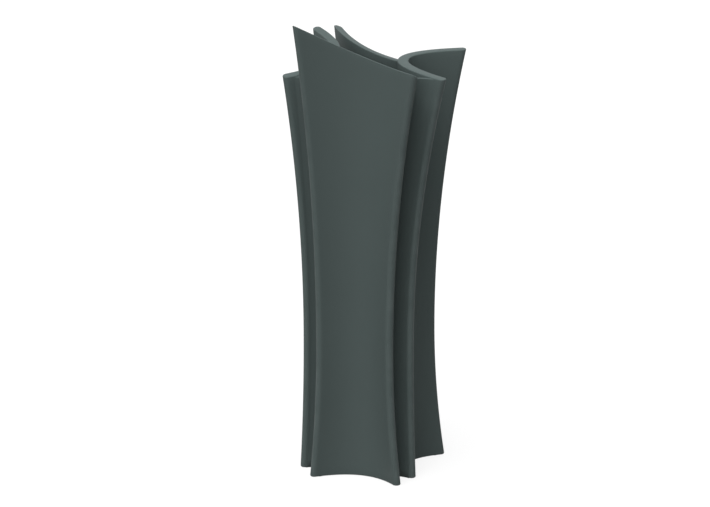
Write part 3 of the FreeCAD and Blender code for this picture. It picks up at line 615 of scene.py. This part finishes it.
def cloudy_colour_effect():
    """Slow light and dark patches in a colour, with fine specks on top."""
    inputs = [("Colour", COLOUR), ("Patch Size", NUMBER), ("Contrast", NUMBER), ("Speck Size", NUMBER)]
    effect = Effect("cloudy_colour", inputs, [("Colour", COLOUR)])
    patches = effect.noise(effect.value("Patch Size"), detail=3.0, roughness=0.5) - 0.5
    specks = effect.noise(effect.value("Speck Size"), detail=1.0, roughness=0.5) - 0.5
    factor = (patches * 2.0 + specks) * effect.value("Contrast") + 1.0
    effect.give("Colour", effect.tinted("Colour", factor))
    return effect


def make_edge_highlight_and_wear():
    """Rims, feet and long edges of the sheets painted paler in patches: a painted edge highlight, and
    wear where hands and feet rub.
    """
    inputs = [("Colour", COLOUR), ("Rubbed Colour", COLOUR), ("Amount", NUMBER), ("Patch Size", NUMBER)]
    effect = Effect("edge_highlight_and_wear", inputs, [("Colour", COLOUR)])
    mark = effect.tree.nodes.new("ShaderNodeAttribute")
    mark.attribute_name = EDGE_MARK
    edge = Field(effect.tree, mark.outputs["Fac"])
    clouds = effect.noise(effect.value("Patch Size"), detail=4.0, roughness=0.6)
    patches = ((clouds - HIGHLIGHT_AND_WEAR_START) * HIGHLIGHT_AND_WEAR_STEEPNESS).clamped()
    mask = edge * edge * patches * effect.value("Amount")
    effect.give("Colour", effect.mixed(mask, "Colour", "Rubbed Colour"))
    return effect


GRAIN = moulded_grain_effect()
CLOUDS = cloudy_colour_effect()
EDGE_HIGHLIGHT_AND_WEAR = make_edge_highlight_and_wear()


# Finishes

class Finish:
    """A material of the planter: a Principled shader fed by the shared effects."""

    def __init__(self, name, specular, metallic=0.0):
        self.material = bpy.data.materials.new(name)
        self.material.use_nodes = True
        self.tree = self.material.node_tree
        self.shader = self.tree.nodes["Principled BSDF"]
        self.shader.inputs["Metallic"].default_value = metallic
        self.shader.inputs["Specular IOR Level"].default_value = specular

    def use(self, effect, **values):
        node = self.tree.nodes.new("ShaderNodeGroup")
        node.node_tree = effect.tree
        for title, value in values.items():
            node.inputs[title.replace("_", " ")].default_value = value
        return node

    def feed(self, output, title):
        self.tree.links.new(output, self.shader.inputs[title])

    def clouded(self, colour, patch, contrast, speck):
        node = self.use(
            CLOUDS, Colour=(*colour, 1.0), Patch_Size=patch, Contrast=contrast, Speck_Size=speck)
        self.feed(node.outputs["Colour"], "Base Color")
        return node.outputs["Colour"]

    def grained(self, size, depth, roughness, spread):
        node = self.use(
            GRAIN, Grain_Size=size, Grain_Depth=depth, Roughness=roughness, Gloss_Spread=spread)
        self.feed(node.outputs["Normal"], "Normal")
        self.feed(node.outputs["Roughness"], "Roughness")


def shell_finish():
    """Satin moulded plastic of the outside, its edges painted paler in patches as a painted highlight
    and as wear.
    """
    finish = Finish("moulded_shell", specular=0.12)
    base = finish.clouded(SHELL_COLOUR, patch=0.22, contrast=0.05, speck=0.003)
    finish.grained(size=0.0012, depth=0.00006, roughness=0.58, spread=0.10)
    # rims, feet and long edges painted paler: painted edge highlight and wear
    highlit_and_worn = finish.use(EDGE_HIGHLIGHT_AND_WEAR, Rubbed_Colour=(*SHELL_HIGHLIGHT_AND_WEAR, 1.0), Amount=0.55, Patch_Size=0.06)
    finish.tree.links.new(base, highlit_and_worn.inputs["Colour"])
    finish.feed(highlit_and_worn.outputs["Colour"], "Base Color")
    return finish.material


def plain_finish(name, colour, patch, contrast, grain, depth, roughness, spread,
                 metallic=0.0, specular=0.4):
    """Plastic, rubber or metal with clouds in its colour and a fine grain."""
    finish = Finish(name, specular, metallic)
    finish.clouded(colour, patch, contrast, speck=grain * SPECK_GRAINS)
    finish.grained(grain, depth, roughness, spread)
    return finish.material


def tube_finish():
    """Milky plastic that lets the float's colour through a little."""
    finish = Finish("tube_plastic", specular=0.5)
    finish.clouded((0.62, 0.66, 0.65), patch=0.05, contrast=0.05, speck=0.004)
    finish.grained(size=0.0015, depth=0.00003, roughness=0.32, spread=0.12)
    finish.shader.inputs["Transmission Weight"].default_value = 0.35
    finish.shader.inputs["IOR"].default_value = 1.49
    return finish.material


def inner_finishes():
    """Finish of every piece inside the shell, by the name of its node."""
    black_plate = plain_finish(
        "black_plate", colour=(0.020, 0.021, 0.022), patch=0.08, contrast=0.10,
        grain=0.0016, depth=0.00010, roughness=0.60, spread=0.14)
    pad_rubber = plain_finish(
        "pad_rubber", colour=(0.016, 0.016, 0.016), patch=0.03, contrast=0.16,
        grain=0.0010, depth=0.00012, roughness=0.82, spread=0.10, specular=0.25)
    insert_brass = plain_finish(
        "insert_brass", colour=(0.52, 0.33, 0.10), patch=0.006, contrast=0.16,
        grain=0.0004, depth=0.00002, roughness=0.36, spread=0.16, metallic=1.0)
    zinc_steel = plain_finish(
        "zinc_steel", colour=(0.52, 0.54, 0.57), patch=0.005, contrast=0.18,
        grain=0.0006, depth=0.00002, roughness=0.40, spread=0.18, metallic=1.0)
    ballast_iron = plain_finish(
        "ballast_iron", colour=(0.060, 0.056, 0.052), patch=0.03, contrast=0.22,
        grain=0.0045, depth=0.00060, roughness=0.74, spread=0.16, metallic=0.6)
    liner_plastic = plain_finish(
        "liner_plastic", colour=(0.026, 0.028, 0.029), patch=0.12, contrast=0.10,
        grain=0.0014, depth=0.00008, roughness=0.50, spread=0.14)
    handle_steel = plain_finish(
        "handle_steel", colour=(0.56, 0.56, 0.55), patch=0.012, contrast=0.10,
        grain=0.0005, depth=0.00002, roughness=0.28, spread=0.14, metallic=1.0)
    grid_plastic = plain_finish(
        "grid_plastic", colour=(0.070, 0.074, 0.076), patch=0.05, contrast=0.10,
        grain=0.0013, depth=0.00007, roughness=0.48, spread=0.14)
    float_plastic = plain_finish(
        "float_plastic", colour=(0.46, 0.030, 0.018), patch=0.01, contrast=0.08,
        grain=0.0010, depth=0.00003, roughness=0.34, spread=0.12)
    cap_plastic = plain_finish(
        "cap_plastic", colour=(0.046, 0.050, 0.052), patch=0.02, contrast=0.10,
        grain=0.0012, depth=0.00006, roughness=0.42, spread=0.14)
    seal_rubber = plain_finish(
        "seal_rubber", colour=(0.020, 0.019, 0.018), patch=0.01, contrast=0.14,
        grain=0.0008, depth=0.00008, roughness=0.78, spread=0.10, specular=0.25)
    return {
        "sheet_bolts": zinc_steel,
        "foot_pads": pad_rubber,
        "base_plate": black_plate,
        "base_inserts": insert_brass,
        "base_screws": zinc_steel,
        "ballast_block": ballast_iron,
        "shelf": black_plate,
        "shelf_inserts": insert_brass,
        "shelf_screws": zinc_steel,
        "liner": liner_plastic,
        "handle_front": handle_steel,
        "handle_back": handle_steel,
        "drain_grid": grid_plastic,
        "gauge_tube": tube_finish(),
        "gauge_float": float_plastic,
        "gauge_cap": cap_plastic,
        "drain_plug": cap_plastic,
        "drain_plug_seal": seal_rubber,
    }


def dress(node, material):
    """Give a carried-over piece its finish."""
    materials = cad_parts[node].data.materials
    materials.clear()
    materials.append(material)


# Light, floor and camera

def soft_sun(name, towards, spread, strength):
    """Even studio light from one side, with soft shadows."""
    data = bpy.data.lights.new(name, "SUN")
    data.angle = math.radians(spread)
    data.energy = strength
    lamp = link(bpy.data.objects.new(name, data))
    lamp.rotation_euler = Vector(towards).to_track_quat("-Z", "Y").to_euler()
    lamp.visible_glossy = False


def studio_light():
    """Soft light from overhead, a weaker one on the front and a weak one on the back."""
    soft_sun("overhead_light", towards=(0.10, 0.25, -1.0), spread=50.0, strength=4.6)
    soft_sun("front_light", towards=(-0.13, 1.0, -0.42), spread=56.0, strength=1.66)
    soft_sun("back_light", towards=(0.10, -1.0, -0.30), spread=56.0, strength=1.10)


def seen_directly(tree):
    """Whether a ray shows a surface to the eye: straight, in a reflection or through a clear piece."""
    path = tree.nodes.new("ShaderNodeLightPath")
    total = path.outputs["Is Camera Ray"]
    for other in ("Is Glossy Ray", "Is Transmission Ray"):
        either = tree.nodes.new("ShaderNodeMath")
        either.operation = "MAXIMUM"
        tree.links.new(total, either.inputs[0])
        tree.links.new(path.outputs[other], either.inputs[1])
        total = either.outputs[0]
    return total


def white_world():
    """White background to the eye, and a low even light on the planter."""
    world = bpy.data.worlds.new("studio")
    bpy.context.scene.world = world
    world.use_nodes = True
    tree = world.node_tree
    tree.nodes.clear()
    ambient = tree.nodes.new("ShaderNodeBackground")
    ambient.inputs["Color"].default_value = WHITE
    ambient.inputs["Strength"].default_value = AMBIENT
    white = tree.nodes.new("ShaderNodeBackground")
    white.inputs["Color"].default_value = WHITE
    choose = tree.nodes.new("ShaderNodeMixShader")
    out = tree.nodes.new("ShaderNodeOutputWorld")
    tree.links.new(seen_directly(tree), choose.inputs["Fac"])
    tree.links.new(ambient.outputs[0], choose.inputs[1])
    tree.links.new(white.outputs[0], choose.inputs[2])
    tree.links.new(choose.outputs[0], out.inputs["Surface"])


def pale_floor():
    """Floor that glows white to the eye, keeps the planter's shadow and throws little light back."""
    corners = []
    for x, y in ((-1, -1), (1, -1), (1, 1), (-1, 1)):
        corners.append((x * FLOOR_HALF, y * FLOOR_HALF, 0))
    mesh = bpy.data.meshes.new("floor")
    mesh.from_pydata(corners, [], [(0, 1, 2, 3)])
    floor = link(bpy.data.objects.new("floor", mesh))
    material = bpy.data.materials.new("pale_floor")
    material.use_nodes = True
    tree = material.node_tree
    tree.nodes.clear()
    paint = tree.nodes.new("ShaderNodeBsdfDiffuse")
    seen = seen_directly(tree)
    shade = tree.nodes.new("ShaderNodeMix")
    shade.data_type = "RGBA"
    tree.links.new(seen, shade.inputs["Factor"])
    shade.inputs["A"].default_value = FLOOR_BOUNCE
    shade.inputs["B"].default_value = FLOOR_COLOUR
    tree.links.new(shade.outputs["Result"], paint.inputs["Color"])
    glow = tree.nodes.new("ShaderNodeEmission")
    glow.inputs["Color"].default_value = WHITE
    part = tree.nodes.new("ShaderNodeMath")
    part.operation = "MULTIPLY"
    part.inputs[1].default_value = FLOOR_GLOW
    tree.links.new(seen, part.inputs[0])
    choose = tree.nodes.new("ShaderNodeMixShader")
    out = tree.nodes.new("ShaderNodeOutputMaterial")
    tree.links.new(part.outputs[0], choose.inputs["Fac"])
    tree.links.new(paint.outputs[0], choose.inputs[1])
    tree.links.new(glow.outputs[0], choose.inputs[2])
    tree.links.new(choose.outputs[0], out.inputs["Surface"])
    mesh.materials.append(material)


def photo_camera():
    """Long lens from the photograph's side, with the target at the photograph's pixel."""
    azimuth = math.radians(VIEW_AZIMUTH)
    elevation = math.radians(VIEW_ELEVATION)
    level = Vector((math.sin(azimuth), -math.cos(azimuth), 0))
    away = level * math.cos(elevation) + UP * math.sin(elevation)
    data = bpy.data.cameras.new("photo_view")
    data.sensor_width = SENSOR_WIDTH
    data.lens = SENSOR_WIDTH * FOCAL_PIXELS / IMAGE_WIDTH
    data.shift_x = (IMAGE_WIDTH / 2 - TARGET_PIXEL[0]) / IMAGE_WIDTH
    data.shift_y = (TARGET_PIXEL[1] - IMAGE_HEIGHT / 2) / IMAGE_WIDTH
    data.clip_end = CAMERA_REACH
    camera = link(bpy.data.objects.new("photo_view", data))
    camera.location = VIEW_TARGET + away * VIEW_DISTANCE
    camera.rotation_euler = (-away).to_track_quat("-Z", "Y").to_euler()
    bpy.context.scene.camera = camera


bpy.context.scene.view_settings.view_transform = "Standard"
photo_camera()
studio_light()
white_world()
pale_floor()

shell = shell_finish()
sheet_tree = upright_sheet_tree(wall_point_tree())
for sheet in SHEETS:
    make_sheet(sheet, sheet_tree, shell)
for post in POSTS:
    make_post(post, shell)
for node, material in inner_finishes().items():
    dress(node, material)
